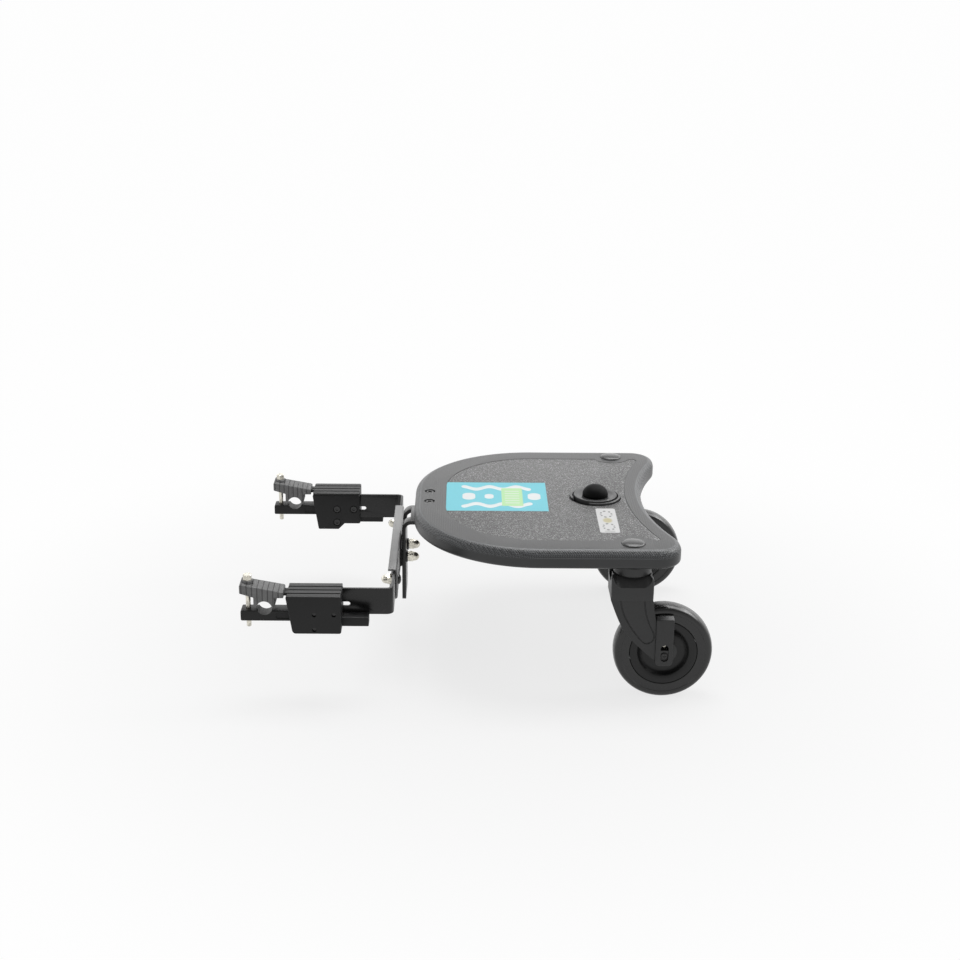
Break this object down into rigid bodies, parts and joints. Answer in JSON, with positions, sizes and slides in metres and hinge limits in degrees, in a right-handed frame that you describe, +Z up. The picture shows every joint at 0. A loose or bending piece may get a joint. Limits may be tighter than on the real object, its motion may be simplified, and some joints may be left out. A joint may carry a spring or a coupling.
{
  "type": "ride-on board",
  "caption": "Ride-on board for a pram: a deck with a plugged seat socket on sprung swivel casters, and a height-adjustable hitch whose screw clamps hold the pram's rear axle.",
  "frame": {"origin": "midpoint of the pram axle's centre line between the two clamps", "axes": "+X back from the axle to the casters, +Y to the far side of the pictured board, +Z up"},
  "size_m": [0.5895, 0.414, 0.2223],
  "materials": {
    "deck": "fine grain",
    "plug_plastic": "fine grain",
    "grip": "ribbed",
    "black_plastic": "satin",
    "black_steel": "satin black",
    "zinc": "zinc plated",
    "saddle_rubber": "ribbed",
    "tyre": "smooth",
    "rim": "gloss black"
  },
  "bodies": {
    "hitch": {"cross_channel": "black_steel", "spacer_plate": "black_plastic", "height_bolt_near": "zinc", "height_washer_near": "black_steel", "height_nut_near": "zinc", "height_bolt_far": "zinc", "height_washer_far": "black_steel", "height_nut_far": "zinc"},
    "board": {"platform": "deck", "grip_panel": "grip", "socket_ring": "deck", "hitch_bracket": "black_steel", "stem_cap_near": "black_plastic", "front_screw_near": "zinc", "collar_near": "black_plastic", "stem_cap_far": "black_plastic", "front_screw_far": "zinc", "collar_far": "black_plastic"},
    "plug": {"socket_plug": "plug_plastic"},
    "knob": {"plug_knob": "black_plastic"},
    "arm_near": {"arm_near": "black_steel", "width_bolt_near": "black_steel", "width_nut_near": "zinc"},
    "connector_near": {"shell_near": "black_plastic", "plate_near": "black_plastic", "hex_screw_1_near": "black_steel", "hex_screw_2_near": "black_steel", "hex_screw_3_near": "black_steel", "saddle_near": "saddle_rubber", "clamp_bolt_near": "zinc"},
    "jaw_near": {"jaw_near": "black_plastic"},
    "caster_near": {"stem_near": "zinc", "fork_near": "black_plastic", "spring_outer_near": "zinc", "spring_inner_near": "zinc"},
    "axle_near": {"axle_near": "zinc", "axle_screw_near": "zinc"},
    "wheel_near": {"rim_near": "rim", "tyre_near": "tyre"},
    "arm_far": {"arm_far": "black_steel", "width_bolt_far": "black_steel", "width_nut_far": "zinc"},
    "connector_far": {"shell_far": "black_plastic", "plate_far": "black_plastic", "hex_screw_1_far": "black_steel", "hex_screw_2_far": "black_steel", "hex_screw_3_far": "black_steel", "saddle_far": "saddle_rubber", "clamp_bolt_far": "zinc"},
    "jaw_far": {"jaw_far": "black_plastic"},
    "caster_far": {"stem_far": "zinc", "fork_far": "black_plastic", "spring_outer_far": "zinc", "spring_inner_far": "zinc"},
    "axle_far": {"axle_far": "zinc", "axle_screw_far": "zinc"},
    "wheel_far": {"rim_far": "rim", "tyre_far": "tyre"}
  },
  "joints": [
    {"name": "height_slide", "type": "slide", "parent": "hitch", "child": "board", "axis": [0, 0, 1], "range_m": [-0.02, 0.045]},
    {"name": "plug_lift", "type": "slide", "parent": "board", "child": "plug", "axis": [0, 0, 1], "range_m": [0, 0.04]},
    {"name": "knob_turn", "type": "hinge", "parent": "plug", "child": "knob", "pos_m": [0.4203, 0, 0.09], "axis": [0, 0, 1], "range_deg": [0, 90]},
    {"name": "width_near", "type": "slide", "parent": "hitch", "child": "arm_near", "axis": [0, -1, 0], "range_m": [-0.04, 0.008]},
    {"name": "reach_near", "type": "slide", "parent": "arm_near", "child": "connector_near", "axis": [-1, 0, 0], "range_m": [-0.015, 0.018]},
    {"name": "jaw_near", "type": "slide", "parent": "connector_near", "child": "jaw_near", "axis": [0, 0, -1], "range_m": [0, 0.008]},
    {"name": "swivel_near", "type": "hinge", "parent": "board", "child": "caster_near", "pos_m": [0.455, -0.1665, 0.0396], "axis": [0, 0, 1], "continuous": true},
    {"name": "suspension_near", "type": "slide", "parent": "caster_near", "child": "axle_near", "axis": [0, 0, 1], "range_m": [0, 0.0085], "stiffness_N_per_m": 8000, "springref_m": -0.004, "deforming": ["spring_outer_near", "spring_inner_near"]},
    {"name": "spin_near", "type": "hinge", "parent": "axle_near", "child": "wheel_near", "pos_m": [0.497, -0.1665, -0.066], "axis": [0, 1, 0], "continuous": true},
    {"name": "width_far", "type": "slide", "parent": "hitch", "child": "arm_far", "axis": [0, 1, 0], "range_m": [-0.04, 0.008]},
    {"name": "reach_far", "type": "slide", "parent": "arm_far", "child": "connector_far", "axis": [-1, 0, 0], "range_m": [-0.015, 0.018]},
    {"name": "jaw_far", "type": "slide", "parent": "connector_far", "child": "jaw_far", "axis": [0, 0, -1], "range_m": [0, 0.008]},
    {"name": "swivel_far", "type": "hinge", "parent": "board", "child": "caster_far", "pos_m": [0.455, 0.1665, 0.0396], "axis": [0, 0, 1], "continuous": true},
    {"name": "suspension_far", "type": "slide", "parent": "caster_far", "child": "axle_far", "axis": [0, 0, 1], "range_m": [0, 0.0085], "stiffness_N_per_m": 8000, "springref_m": -0.004, "deforming": ["spring_outer_far", "spring_inner_far"]},
    {"name": "spin_far", "type": "hinge", "parent": "axle_far", "child": "wheel_far", "pos_m": [0.497, 0.1665, -0.066], "axis": [0, 1, 0], "continuous": true}
  ]
}
